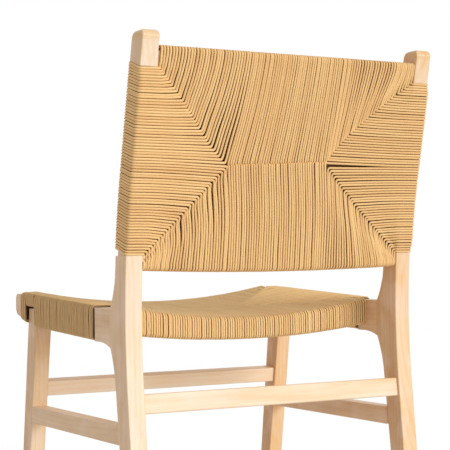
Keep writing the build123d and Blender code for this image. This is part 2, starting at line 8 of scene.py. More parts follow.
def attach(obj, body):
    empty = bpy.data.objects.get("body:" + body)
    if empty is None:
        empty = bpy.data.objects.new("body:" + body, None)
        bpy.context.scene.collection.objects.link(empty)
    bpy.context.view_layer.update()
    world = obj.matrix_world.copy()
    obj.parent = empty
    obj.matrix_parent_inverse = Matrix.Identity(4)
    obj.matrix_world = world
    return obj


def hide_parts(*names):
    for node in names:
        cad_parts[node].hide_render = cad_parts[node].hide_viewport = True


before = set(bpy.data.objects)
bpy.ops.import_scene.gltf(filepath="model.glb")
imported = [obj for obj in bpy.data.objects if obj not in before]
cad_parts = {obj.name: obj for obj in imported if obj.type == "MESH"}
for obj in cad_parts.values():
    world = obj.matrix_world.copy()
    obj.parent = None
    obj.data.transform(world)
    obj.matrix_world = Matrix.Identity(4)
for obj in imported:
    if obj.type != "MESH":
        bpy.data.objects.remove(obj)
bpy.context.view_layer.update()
print("frame loaded:", len(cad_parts), "nodes")

# Lengths of the weave are millimetres, all others metres. A strand's place is (x, forward, z), with
# forward = 0 at the crease where the rear legs bend; toMetres turns it into the frame's axes.
creaseY = 164.42


def sideBySide(x, forward, z):
    return np.stack(np.broadcast_arrays(x, forward, z), axis=-1)


def toMetres(x, forward, z):
    # x, creaseY - forward and z side by side, divided by 1000
    return sideBySide(x, creaseY - forward, z) / 1000


# camera
cameraPlace = {
    "place": (1.075070, 1.886852, 0.527854),
    "turn": 30.1039,  # degrees from looking along -Y, towards -X
    "tilt": 1.0806,
    "roll": -0.5918,
    "lens": 112.528,
    "film": 36.0,
    "clipEnd": 50,
}


def addCamera(values):
    # ahead = (-sin turn, -cos turn, 0) tilted up; right = ahead x up; above = right x ahead;
    # then right and above are turned by the roll
    turn, tilt, roll = (math.radians(values[key]) for key in ("turn", "tilt", "roll"))
    level = np.array([-math.sin(turn), -math.cos(turn), 0.0])
    ahead = level * math.cos(tilt) + np.array([0.0, 0.0, math.sin(tilt)])
    right = np.cross(ahead, [0.0, 0.0, 1.0])
    right /= np.linalg.norm(right)
    above = np.cross(right, ahead)
    rolledRight = right * math.cos(roll) + above * math.sin(roll)
    rolledAbove = -right * math.sin(roll) + above * math.cos(roll)
    lens = bpy.data.cameras.new("camera")
    lens.lens = values["lens"]
    lens.sensor_width = values["film"]
    lens.sensor_fit = "HORIZONTAL"
    lens.clip_end = values["clipEnd"]
    camera = bpy.data.objects.new("camera", lens)
    turned = np.eye(4)
    turned[:3, 0] = rolledRight
    turned[:3, 1] = rolledAbove
    turned[:3, 2] = -ahead
    turned[:3, 3] = values["place"]
    camera.matrix_world = Matrix(turned.tolist())
    bpy.context.scene.collection.objects.link(camera)
    bpy.context.scene.camera = camera


addCamera(cameraPlace)
print("camera placed")


# shader helpers
class Wire:
    # one output socket; arithmetic on it adds Math nodes to its sheet
    def __init__(self, sheet, socket):
        self.sheet = sheet
        self.socket = socket

    def maths(self, operation, *others):
        places = dict(enumerate((self,) + others))
        return self.sheet.add("ShaderNodeMath", {"operation": operation}, places)

    def flipped(self, operation, other):
        return self.sheet.add("ShaderNodeMath", {"operation": operation}, {0: other, 1: self})

    def held(self, low=0.0, high=1.0):
        return self.maths("MAXIMUM", low).maths("MINIMUM", high)

    def __add__(self, other):
        return self.maths("ADD", other)

    def __sub__(self, other):
        return self.maths("SUBTRACT", other)

    def __mul__(self, other):
        return self.maths("MULTIPLY", other)

    def __truediv__(self, other):
        return self.maths("DIVIDE", other)

    def __pow__(self, other):
        return self.maths("POWER", other)

    __radd__ = __add__
    __rmul__ = __mul__

    def __rsub__(self, other):
        return self.flipped("SUBTRACT", other)

    def __rtruediv__(self, other):
        return self.flipped("DIVIDE", other)


class Sheet:
    # a node tree that nodes are added to by type, settings and sockets
    def __init__(self, tree):
        self.tree = tree
        tree.nodes.clear()

    def add(self, kind, settings=None, inputs=None, output=0):
        node = self.tree.nodes.new(kind)
        for key, value in (settings or {}).items():
            setattr(node, key, value)
        for key, value in (inputs or {}).items():
            if isinstance(value, Wire):
                self.tree.links.new(value.socket, node.inputs[key])
            else:
                node.inputs[key].default_value = value
        return Wire(self, node.outputs[output]) if node.outputs else None

    def blend(self, share, first, second):
        sockets = {0: share, 6: first, 7: second}
        return self.add("ShaderNodeMix", {"data_type": "RGBA"}, sockets, output=2)

    def split(self, vector):
        return [self.add("ShaderNodeSeparateXYZ", None, {0: vector}, output=k) for k in range(3)]

    def join(self, x, y, z):
        return self.add("ShaderNodeCombineXYZ", None, {0: x, 1: y, 2: z})

    def noise(self, vector, scale, detail=2.0, roughness=0.5):
        sockets = {"Vector": vector, "Scale": scale, "Detail": detail, "Roughness": roughness}
        return self.add("ShaderNodeTexNoise", None, sockets)

    def relief(self, height, strength, distance):
        sockets = {"Strength": strength, "Distance": distance, "Height": height}
        return self.add("ShaderNodeBump", None, sockets)


def paint(red, green, blue):
    # a colour as it is read off a screen, 0 to 255, turned into linear light
    parts = [value / 255 for value in (red, green, blue)]
    return [p / 12.92 if p < 0.04045 else ((p + 0.055) / 1.055) ** 2.4 for p in parts] + [1.0]


def newMaterial(name):
    material = bpy.data.materials.new(name)
    material.use_nodes = True
    return material, Sheet(material.node_tree)


def finishMaterial(sheet, sockets):
    shader = sheet.add("ShaderNodeBsdfPrincipled", None, sockets)
    sheet.add("ShaderNodeOutputMaterial", None, {"Surface": shader})


# wood
woodLooks = {
    "pale": paint(250, 230, 202),
    "deep": paint(238, 192, 134),
    "flank": paint(238, 201, 160),  # the boards' other faces, cut across the rings, made darker and warmer as painted shade on the frame's sides
    "flankDeep": paint(214, 166, 116),
    "ringWidth": 0.0062,
    "ringBend": 0.03,  # how far the slow noise moves a ring
    "ringEdge": 2.2,
    "ringDepth": 0.2,
    "broadDepth": 1.5,
    "depthShift": 0.66,
    "slow": (9.0, 2.2, 2.0, 0.5),  # a noise's scale across and along the grain, detail, roughness
    "broad": (38.0, 6.0, 3.0, 0.55),
    "fibre": (520.0, 12.0, 3.0, 0.6),
    "pore": (1500.0, 95.0, 1.0, 0.5),
    "poreLevel": 0.68,
    "streak": paint(206, 156, 108),
    "streakLevel": 0.46,
    "blush": paint(248, 220, 200),
    "blushScale": 26.0,
    "blushLevel": 0.46,
    "blushMost": 0.3,
    "tip": paint(232, 182, 112),  # end grain that shows where the posts' tops are rounded
    "tipBand": (0.808, 0.826),  # where it shows, along Z
    "tipFade": (90.0, 200.0),
    "coveredShade": paint(52, 26, 12),  # painted shade: wood beside the cord, darkened to the dark of its grooves
    "coveredShadeBand": (-0.1962, 0.0778),  # the part of the side rails that the cord covers, along Y, where that shade is painted
    "coveredShadeFade": 4000.0,
    "roughness": 0.5,
    "reliefStrength": 0.22,
    "coat": 0.08,
}


def makeWood(name, along, heart, warmth, looks):
    # rings are the sine of the distance from the heart line, bent by slow noise and drawn thin by a
    # power; fibres and pores are noise stretched along the grain; depth adds up rings, broad noise
    # and warmth, and sets how far the colour goes from pale to deep
    material, sheet = newMaterial(name)
    place = sheet.add("ShaderNodeTexCoord", None, None, output="Object")
    axes = sheet.split(place)
    lengthwise = axes.pop("XYZ".index(along))
    first, second = axes

    def grain(kind):
        across, lengthways, detail, roughness = looks[kind]
        stretched = sheet.join(first * across, second * across, lengthwise * lengthways)
        return sheet.noise(stretched, 1.0, detail, roughness)

    away = ((first - heart[0]) ** 2.0 + (second - heart[1]) ** 2.0) ** 0.5
    phase = (away + grain("slow") * looks["ringBend"]) * (2 * math.pi / looks["ringWidth"])
    ring = (phase.maths("SINE") * 0.5 + 0.5) ** looks["ringEdge"]
    broad = grain("broad")
    fibre = grain("fibre")
    dash = ((grain("pore") - looks["poreLevel"]) * 9.0).held()
    mixed = ring * looks["ringDepth"] + broad * looks["broadDepth"] - looks["depthShift"] + warmth
    depth = mixed.held()

    # faces turned towards X take the flank colours: partly the other cut of the grain, partly
    # painted shade on the sides
    facing = sheet.add("ShaderNodeTexCoord", None, None, output="Normal")
    sideways = (sheet.split(facing)[0].maths("ABSOLUTE") * 1.6 - 0.5).held()
    flat = sheet.blend(depth, looks["pale"], looks["deep"])
    flank = sheet.blend(depth, looks["flank"], looks["flankDeep"])
    base = sheet.blend(sideways, flat, flank)
    patch = (sheet.noise(place, looks["blushScale"]) - looks["blushLevel"]) * 1.6
    base = sheet.blend(patch.held(0.0, looks["blushMost"]), base, looks["blush"])
    if along == "Z":
        low, high = looks["tipBand"]
        lowFade, highFade = looks["tipFade"]
        band = ((lengthwise - low) * lowFade).maths("MINIMUM", (high - lengthwise) * highFade)
        base = sheet.blend(band.held(0.0, 0.6) * broad * 1.5, base, looks["tip"])
    streaks = (fibre - looks["streakLevel"]).maths("MAXIMUM", 0.0) * 0.5
    lined = sheet.blend(streaks, base, looks["streak"])
    colour = sheet.blend(dash * 0.22, lined, looks["streak"])
    # painted shade: the side rails go near black where the cord covers them, so grooves and the
    # leg's slot look deep
    if name.endswith("_seat_rail") and along == "Y":
        low, high = looks["coveredShadeBand"]
        fade = looks["coveredShadeFade"]
        inside = ((lengthwise - low) * fade).maths("MINIMUM", (high - lengthwise) * fade)
        colour = sheet.blend(inside.held(), colour, looks["coveredShade"])

    height = fibre * 0.6 - dash * 0.5
    sockets = {
        "Base Color": colour,
        "Roughness": fibre * 0.18 + (looks["roughness"] - 0.09),
        "Normal": sheet.relief(height, looks["reliefStrength"], 0.0003),
        "Coat Weight": looks["coat"],
    }
    finishMaterial(sheet, sockets)
    return material


woodPieces = {
    # node: (grain runs along, heart line across the grain in metres, how warm)
    "left_rear_leg": ("Z", (0.36, 0.11), 0.04),
    "right_rear_leg": ("Z", (-0.31, 0.05), 0.6),
    "left_front_leg": ("Z", (0.33, -0.24), 0.45),
    "right_front_leg": ("Z", (-0.34, -0.08), 0.75),
    "left_seat_rail": ("Y", (0.30, 0.36), 0.1),
    "right_seat_rail": ("Y", (-0.28, 0.50), 0.3),
    "rear_seat_rail": ("X", (0.15, 0.40), 0.2),
    "front_seat_rail": ("X", (-0.25, 0.42), 0.2),
    "back_top_rail": ("X", (0.26, 0.70), 0.2),
    "back_bottom_rail": ("X", (0.10, 0.60), 0.2),
    "rear_stretcher": ("X", (0.235, 0.36), 0.2),
    "front_stretcher": ("X", (-0.24, 0.27), 0.06),
    "left_side_stretcher": ("Y", (0.20, 0.33), 0.14),
    "right_side_stretcher": ("Y", (-0.26, 0.25), 0.2),
    "seat_rail_dowels": ("Y", (0.22, 0.39), 0.3),
    "cross_rail_dowels": ("X", (0.0, 0.44), 0.3),
    "back_rail_dowels": ("X", (0.2, 0.66), 0.3),
}


def dress(node, material):
    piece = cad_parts[node]
    piece.data.materials.clear()
    piece.data.materials.append(material)


for node, (along, heart, warmth) in woodPieces.items():
    dress(node, makeWood("wood_" + node, along, heart, warmth, woodLooks))
print("wood finished on", len(woodPieces), "nodes")

# glides and tacks
glideLooks = {
    "light": paint(214, 208, 196),
    "dark": paint(150, 144, 132),
    "roughness": 0.5,
    "metallic": 0.0,
    "scale": 900.0,
}
tackLooks = {
    "light": paint(196, 196, 198),
    "dark": paint(120, 120, 124),
    "roughness": 0.32,
    "metallic": 1.0,
    "scale": 1500.0,
}


def makeSpeckled(name, looks):
    # colour and roughness follow one fine noise, as on moulded plastic or drawn steel
    material, sheet = newMaterial(name)
    place = sheet.add("ShaderNodeTexCoord", None, None, output="Object")
    speckle = sheet.noise(place, looks["scale"], 4.0, 0.6)
    sockets = {
        "Base Color": sheet.blend(speckle, looks["dark"], looks["light"]),
        "Roughness": speckle * 0.2 + (looks["roughness"] - 0.1),
        "Metallic": looks["metallic"],
        "Normal": sheet.relief(speckle, 0.15, 0.0002),
    }
    finishMaterial(sheet, sockets)
    return material


dress("foot_glides", makeSpeckled("glidePlastic", glideLooks))
dress("cord_tacks", makeSpeckled("tackSteel", tackLooks))
print("glides and tacks finished")

# paper cord
cordLooks = {
    "lit": paint(252, 211, 146),
    "shade": paint(234, 182, 118),
    # the groove colour is painted shade: the dark between strands, between plies and on the seat's
    # sides
    "grooveShade": paint(166, 114, 62),
    "grooveWidth": 0.30,  # share of the cord's width that the painted shade of a groove takes
    "sideShade": 0.0,  # how far the cord goes to the groove's colour on the chair's sides, as painted shade
    "sideStart": 0.236,  # where that begins, from the chair's middle
    "lay": 0.016,  # length in which a ply goes once round
    "plies": 3.0,
    "plyLineShade": 0.14,  # how dark the painted shade in the line between two plies is
    "patchScale": 34.0,
    "roughness": 0.68,
    "reliefStrength": 0.18,
}
seatLooks = dict(
    cordLooks,
    lit=paint(255, 218, 155),
    shade=paint(240, 190, 123),
    grooveShade=paint(142, 98, 56),
    grooveWidth=0.36,
    sideShade=0.38,
)
# painted shade: the inner crossings are dark brown, standing for the shadow inside the weave that
# shows through its gaps
innerShadeLooks = dict(
    cordLooks,
    lit=paint(108, 72, 38),
    shade=paint(102, 68, 36),
    grooveShade=paint(92, 60, 32),
)


def makeCord(name, looks):
    # plies are the height |sin(pi (plies v + u / lay))| in the cord's own lengthwise u and round v;
    # grooves, painted with shade, are where |cos(2 pi v)| is near 1, because v starts where the
    # next strand lies
    material, sheet = newMaterial(name)
    chart = sheet.add("ShaderNodeUVMap", {"uv_map": "cordMap"})
    u, v = sheet.split(chart)[:2]
    tone = sheet.add("ShaderNodeAttribute", {"attribute_name": "strandTone"}, None, output=2)
    ply = ((v * looks["plies"] + u / looks["lay"]) * math.pi).maths("SINE").maths("ABSOLUTE")
    place = sheet.add("ShaderNodeTexCoord", None, None, output="Object")
    patch = sheet.noise(place, looks["patchScale"], 3.0, 0.55)
    fibre = sheet.noise(sheet.join(u * 260.0, v * 9.0 + u * 240.0, tone * 40.0), 1.0, 3.0, 0.6)
    share = (tone * 0.55 + patch * 0.5 + fibre * 0.35 - 0.30).held()
    base = sheet.blend(share, looks["lit"], looks["shade"])
    lined = sheet.blend((1.0 - ply) ** 3.0 * looks["plyLineShade"], base, looks["grooveShade"])
    # painted shade: the cord's rim, where it meets the next strand, goes to the groove colour
    facing = (v * (2 * math.pi)).maths("COSINE").maths("ABSOLUTE")
    width = looks["grooveWidth"]
    rim = ((facing - (1 - width)) / width).maths("MAXIMUM", 0.0)
    grooveShaded = sheet.blend(rim * 0.9, lined, looks["grooveShade"])
    # painted shade: past sideStart the cord goes towards the groove colour
    sideShadeMask = (sheet.split(place)[0].maths("ABSOLUTE") - looks["sideStart"]) * 400.0
    sockets = {
        "Base Color": sheet.blend(sideShadeMask.held() * looks["sideShade"], grooveShaded, looks["grooveShade"]),
        "Roughness": fibre * 0.16 + (looks["roughness"] - 0.08),
        "Normal": sheet.relief(ply * 0.8 + fibre * 0.25, looks["reliefStrength"], 0.0004),
    }
    finishMaterial(sheet, sockets)
    return material


cordMaterials = {
    "back": makeCord("backCord", cordLooks),
    "seat": makeCord("seatCord", seatLooks),
    "inner": makeCord("innerCord", innerShadeLooks),
}


# strands
def smoothLoops(corners, steps):
    # closed quadratic spline: (1 - t)^2 / 2 of the corner before, 1/2 + t (1 - t) of this one and
    # t^2 / 2 of the next, so it touches the middle of each side of the corner polygon
    before = np.roll(corners, 1, axis=1)[:, :, None]
    after = np.roll(corners, -1, axis=1)[:, :, None]
    t = (np.arange(steps) / steps)[:, None]
    here = corners[:, :, None]
    points = 0.5 * (1 - t) ** 2 * before + (0.5 + t * (1 - t)) * here + 0.5 * t**2 * after
    return points.reshape(len(corners), -1, 3)


def unit(vectors):
    return vectors / np.maximum(np.linalg.norm(vectors, axis=-1, keepdims=True), 1e-9)


def towardsNext(paths, ahead):
    # mean of the steps to the strands on both sides, weighted by 1 / length^4 so that the shorter
    # one counts most, made square to the path
    step = np.diff(paths, axis=0)
    steps = (np.concatenate([step, step[-1:]]), np.concatenate([step[:1], step]))
    weights = [1 / np.maximum((s**2).sum(-1, keepdims=True), 1e-9) ** 2 for s in steps]
    toNext = sum(s * w for s, w in zip(steps, weights)) / sum(weights)
    return unit(toNext - (toNext * ahead).sum(-1, keepdims=True) * ahead)


def tubeMesh(name, paths, radii, tones, sides):
    # a circle of the strand's radius carried along each closed path: path + radius (cos a across +
    # sin a beside), where across faces the next strand
    count, rings = paths.shape[:2]
    ahead = unit(np.roll(paths, -1, axis=1) - np.roll(paths, 1, axis=1))
    across = towardsNext(paths, ahead)
    beside = np.cross(ahead, across)
    angle = (2 * np.pi * np.arange(sides) / sides)[:, None]
    ringOut = np.cos(angle) * across[:, :, None] + np.sin(angle) * beside[:, :, None]
    points = paths[:, :, None] + radii[:, None, None, None] * ringOut

    strand = np.arange(count)[:, None, None] * rings * sides
    ring = np.arange(rings)[None, :, None]
    edge = np.arange(sides)[None, None, :]
    nextRing = (ring + 1) % rings
    nextEdge = (edge + 1) % sides
    here = strand + ring * sides
    there = strand + nextRing * sides
    faces = (here + edge, here + nextEdge, there + nextEdge, there + edge)
    faces = np.stack(faces, axis=-1).reshape(-1, 4)

    steps = np.linalg.norm(np.roll(paths, -1, axis=1) - paths, axis=-1)
    walked = np.concatenate([np.zeros((count, 1)), np.cumsum(steps, axis=1)], axis=1)
    uHere = np.broadcast_to(walked[:, :-1, None], (count, rings, sides))
    uThere = np.broadcast_to(walked[:, 1:, None], (count, rings, sides))
    vHere = np.broadcast_to(edge / sides, (count, rings, sides))
    vThere = vHere + 1 / sides
    chart = np.stack([uHere, vHere, uHere, vThere, uThere, vThere, uThere, vHere], axis=-1)

    mesh = bpy.data.meshes.new(name)
    mesh.vertices.add(points.size // 3)
    mesh.vertices.foreach_set("co", points.ravel())
    mesh.loops.add(faces.size)
    mesh.loops.foreach_set("vertex_index", faces.ravel())
    mesh.polygons.add(len(faces))
    mesh.polygons.foreach_set("loop_start", np.arange(len(faces)) * 4)
    mesh.polygons.foreach_set("use_smooth", np.ones(len(faces), bool))
    mesh.update(calc_edges=True)
    mesh.uv_layers.new(name="cordMap").data.foreach_set("uv", chart.ravel())
    shade = mesh.attributes.new("strandTone", "FLOAT", "POINT")
    shade.data.foreach_set("value", np.repeat(tones, rings * sides))
    mesh.validate()
    return mesh


strandShape = {"radius": 1.93, "radiusSpread": 0.04, "sides": 8, "steps": 3}
strandHalf = 1.95  # from a strand's middle to what it lies on


def addStrands(name, corners, seed, covers, fullness=1.0):
    # corners is strands x corners x (x, forward, z); radii are normal random numbers
    chance = np.random.default_rng(seed)
    paths = toMetres(corners[..., 0], corners[..., 1], corners[..., 2])
    paths = smoothLoops(paths, strandShape["steps"])
    count = len(paths)
    radii = strandShape["radius"] + strandShape["radiusSpread"] * chance.standard_normal(count)
    radii = radii * fullness / 1000
    tones = chance.random(count)
    mesh = tubeMesh(name, paths, radii, tones, strandShape["sides"])
    mesh.materials.append(cordMaterials["inner" if "Inner" in name else name[:4]])
    piece = bpy.data.objects.new(name, mesh)
    bpy.context.scene.collection.objects.link(piece)
    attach(piece, "root")
    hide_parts(*covers)
    print("strands", name, count, "loops,", len(mesh.polygons) * 2, "triangles")


def scatter(seed, count, wander):
    # jitter(size) is a normal random number for each strand, times the size;
    # sway(share) is jitter(wander sin(pi share)), which leaves the ends of a run in place
    chance = np.random.default_rng(seed)

    def jitter(size):
        return chance.standard_normal(count) * size

    def sway(share, part=1.0):
        return jitter(wander * part * math.sin(math.pi * share))

    return jitter, sway


post = {
    "inner": 213.6,
    "depth": 32.9,
    "rake": 0.215,
    "splay": 0.101,
    "crease": 487.3,
    "bend": 147.0,  # half the height over which the post bends
}


def backFace(z):
    # two straight lines, rake z and -splay z from the crease, joined by a parabola over the bend
    above = z - post["crease"]
    rake, splay, bend = post["rake"], post["splay"], post["bend"]
    curve = (rake * (above + bend) ** 2 + splay * (bend - above) ** 2) / (4 * bend)
    return np.where(above > bend, rake * above, np.where(above < -bend, -splay * above, curve))


def behind(x, depth, z):
    # a point this deep in front of the posts' back face, as x, forward, z
    return sideBySide(x, depth - backFace(z), z)


# woven back
backWeave = {
    "top": 775.0,  # edge of the rows on a post's rear face
    "bottom": 523.5,
    "rows": (32, 33),  # above and below the seam, on each post
    "outer": 239.95,  # strand's middle beside a post
    "overPost": 0.05,  # depth of a strand's middle on a post, where it lies in one layer
    "layer": 3.7,  # how far the second layer of cord lifts the rows off the posts
    "layerRows": 4,  # rows in which it sets in
    "climb": 9.6,  # how much higher a wrap is at the front of a post than at its rear
    "overRail": 2.05,  # depth of a strand's middle on a rail
    "topRail": 802.9,  # strand's middle over the top rail and under the bottom rail
    "bottomRail": 504.75,
    "bottomBow": 4.5,
    "railTurn": 9.0,  # how far from there a column starts to turn over the rail
    "sink": 4.4,  # how far the sheets draw together at the seam
    "sinkDepth": 124.0,  # from an edge to the seam
    "seamLeft": (88.5, 648.5),  # ends of the seam behind, as x and z
    "seamRight": (-76.0, 656.5),
    "frontSeam": 86.0,  # half the seam's length in front
    "seamTurn": 5.0,
    "centre": 40,  # columns between the corners
    "wander": 0.13,  # how far a strand strays in the middle of a run
    "shift": 0.26,  # how far a whole strand lies off its place
    "depthShift": 0.22,
    "swing": -4.5,  # how far the lower columns swing out halfway down
    "swingDepth": 125.0,
}
rowPitch = (backWeave["top"] - backWeave["bottom"]) / sum(backWeave["rows"])

# railReach: how far in a strand crosses the rail, at railRows; reaches: the same of its mitre, at
# these depths from the edge; rise: how much nearer to the edge than its row a mitre lies, by row;
# roundH and roundV: how wide the strand turns there; dip: how far it dives before, at and after the
# turn; lean: 1 for straight columns; paired: how far columns lean together by twos; tilt: how far
# the first rows' outer ends lie off their rows
backCorners = {
    "backWeaveUpperLeft": {
        "side": 1,
        "upper": True,
        "seed": 11,
        "covers": ("back_cord_left", "back_cord_top"),
        "railRows": (0, 4.3, 14, 31),
        "railReach": (5, 24.6, 69.5, 143),
        "depths": (0, 20, 42, 68, 94, 110, 124),
        "reaches": (3, 24, 45, 66, 88, 104, 121.5),
        "rise": lambda i: 2.6 * np.minimum(i / 5, 1) - 4.6 * (i / 31) ** 4,
        "roundH": 1.7,
        "roundV": 2.6,
        "dip": (0.2, 2.0, 2.6),
        "lean": 1.5,
        "fullness": 1.08,
        "paired": 0.15,
        "tilt": -1.0,
    },
    "backWeaveUpperRight": {
        "side": -1,
        "upper": True,
        "seed": 12,
        "covers": ("back_cord_right", "back_cord_top"),
        "railRows": (0, 9.3, 14.8, 24.7, 31),
        "railReach": (2, 33, 60, 106.9, 131),
        "depths": (0, 27, 55, 68, 96, 113, 124),
        "reaches": (0, 40, 76, 92, 120, 133, 138),
        "rise": lambda i: 0.16 * i * (1.35 - 0.9 * (i / 31)),
        "roundH": 1.6,
        "roundV": 2.2,
        "dip": (1.0, 2.2, 1.4),
        "lean": 1.3,
        "fullness": 1.0,
        "paired": 0.12,
        "tilt": 0.0,
    },
    "backWeaveLowerLeft": {
        "side": 1,
        "upper": False,
        "seed": 13,
        "covers": ("back_cord_left", "back_cord_bottom"),
        "railRows": (0, 11, 22, 32),
        "railReach": (2.4, 39.5, 89, 131),
        "depths": (0, 20, 60, 125),
        "reaches": (0, 22, 63, 128),
        "rise": lambda i: 3.0 * np.minimum(i / 12, 1),
        "roundH": 6.0,
        "roundV": 8.0,
        "dip": (-0.3, 0.8, 3.2),
        "lean": 0.9,
        "fullness": 1.03,
        "paired": 0.6,
        "tilt": 0.0,
    },
    "backWeaveLowerRight": {
        "side": -1,
        "upper": False,
        "seed": 14,
        "covers": ("back_cord_right", "back_cord_bottom"),
        "railRows": (0, 11.3, 21.2, 32),
        "railReach": (2.4, 34, 73.6, 126),
        "depths": (0, 32, 68, 102, 125),
        "reaches": (0, 36, 76, 111, 133),
        "rise": lambda i: 0.24 * i * (1 - (i / 31) ** 2) + 1.6 * (i / 32) ** 3,
        "roundH": 8.0,
        "roundV": 10.0,
        "dip": (0.0, 0.3, 0.6),
        "lean": 0.9,
        "fullness": 0.98,
        "paired": 0.25,
        "tilt": 0.0,
    },
}


def railMiddle(x, upper):
    # the top rail is level; the bottom rail bows down by bow (1 - (x / inner)^2)
    if upper:
        return np.full_like(x, backWeave["topRail"])
    return backWeave["bottomRail"] - backWeave["bottomBow"] * (1 - (x / post["inner"]) ** 2)


def putOverRail(put, x, railZ, endZ):
    # five corners that carry a column from the rear sheet over a rail to the front sheet
    near = backWeave["overRail"]
    far = post["depth"] - near
    put(x, near, endZ)
    put(x, near, railZ)
    put(x, (near + far) / 2, railZ)
    put(x, far, railZ)
    put(x, far, endZ)


def backCornerLoops(values):
    # one loop per row: post's rear, row, mitre, column, over the rail, column, mitre, row, post's
    # front and side; at share s of the rear row z follows s^1.6 and depth (1 - s)^1.4, and at share
    # s of the rear column x follows (1 - s)^lean
    weave = backWeave
    upper = values["upper"]
    count = weave["rows"][0 if upper else 1]
    jitter, sway = scatter(values["seed"], count, weave["wander"])
    way = -1 if upper else 1
    edge = weave["top"] if upper else weave["bottom"]
    begin = post["inner"]
    i = np.arange(count)
    rowShift = jitter(weave["shift"] * 0.7) * np.minimum(i / 3, 1)
    rowZ = edge + way * (i + 0.5) * rowPitch + rowShift
    mitreZ = rowZ - way * values["rise"](i) + jitter(0.2)
    fromEdge = np.abs(mitreZ - edge)
    reach = np.interp(fromEdge, values["depths"], values["reaches"])
    mitreX = begin - np.maximum(reach, strandHalf) + jitter(0.4)
    railX = begin - np.interp(i, values["railRows"], values["railReach"]) + jitter(weave["shift"])
    railX = np.minimum(railX, begin - strandHalf)
    railZ = railMiddle(railX, upper)
    endZ = railZ + way * weave["railTurn"]
    sink = weave["sink"] * fromEdge / weave["sinkDepth"]
    inRail = weave["overRail"]
    mitreDeep = inRail + sink
    farRail = post["depth"] - inRail
    farMitre = farRail - sink
    lifted = np.minimum(i / weave["layerRows"], 1)
    over = weave["overPost"] - weave["layer"] * lifted**2 * (3 - 2 * lifted)
    farOver = post["depth"] - weave["overPost"]
    out = weave["outer"]
    corners = []

    def put(x, depth, z):
        corners.append(behind(x, depth, z))

    # rear row
    tilt = values["tilt"] * np.clip(1 - i / 16, 0, 1)
    put(out, over, rowZ + tilt)
    put(out - 6, over, rowZ + tilt * 0.7)
    roundH = np.minimum(values["roundH"], 0.6 * (begin - mitreX) + 0.4)
    for share in (0.02, 0.3, 0.6, 0.84):
        x = begin + (mitreX + roundH - begin) * share
        depth = mitreDeep + (over - mitreDeep) * (1 - share) ** 1.4
        z = rowZ + (mitreZ - rowZ) * share**1.6 + sway(share, 0.8)
        put(x, depth + jitter(0.2), z)
    dipRow, dipTurn, dipColumn = values["dip"]
    put(mitreX + roundH, mitreDeep + dipRow, mitreZ)
    put(mitreX, mitreDeep + dipTurn, mitreZ)

    # rear column
    columnZ = mitreZ - way * values["roundV"]
    turns = np.where(i % 2 == 0, 1.0, -1.0) * np.minimum(i / 8, 1)
    paired = values["paired"] * turns + jitter(values["paired"] / 3)
    swing = 0.0 if upper else values["side"] * weave["swing"] * (fromEdge / weave["swingDepth"])
    put(mitreX + (railX - mitreX) * 0.12 + paired, mitreDeep + dipColumn, columnZ)
    for share in (0.2, 0.42, 0.64, 0.84):
        z = columnZ + (endZ - columnZ) * share
        x = railX + (mitreX - railX) * (1 - share) ** values["lean"] + sway(share)
        x = x + swing * math.sin(math.pi * share)
        x = x + paired * max(0.0, 1 - share * 1.6)
        depth = mitreDeep + (inRail - mitreDeep) * share + dipColumn * max(0.0, 1 - share * 3)
        put(x, depth + jitter(weave["depthShift"]), z)
    putOverRail(put, railX, railZ, endZ)

    # front column, mitre and row
    climb = weave["climb"]
    frontZ = rowZ + climb
    turnX = begin - np.maximum(way * (frontZ - edge - climb) * 1.02, strandHalf)
    columnZ = frontZ - way * 3.4
    for share in (0.3, 0.6, 0.85):
        z = endZ + (columnZ - endZ) * share
        x = railX + (turnX - railX) * share**1.4 + sway(share)
        put(x, farRail + (farMitre - farRail) * share + jitter(weave["depthShift"]), z)
    put(turnX, farMitre - 0.8, columnZ)
    put(turnX, farMitre - 0.4, frontZ)
    put(turnX + 3.0, farMitre, frontZ)
    for share in (0.35, 0.7, 0.98):
        x = turnX + 3.0 + (begin - turnX - 3.0) * share
        depth = farMitre + (farOver - farMitre) * share
        put(x, depth, frontZ + sway(share, 0.8))
    put(out - 8, farOver, frontZ)
    put(out, farOver, frontZ)
    put(out, farOver - 9, frontZ - climb * 0.22 + jitter(0.15))
    put(out, over + 7, frontZ - climb * 0.82 + jitter(0.15))
    loops = np.stack(corners, axis=1)
    loops[..., 0] *= values["side"]
    return loops


for name, values in backCorners.items():
    loops = backCornerLoops(values)
    addStrands(name, loops, values["seed"], values["covers"], values["fullness"])


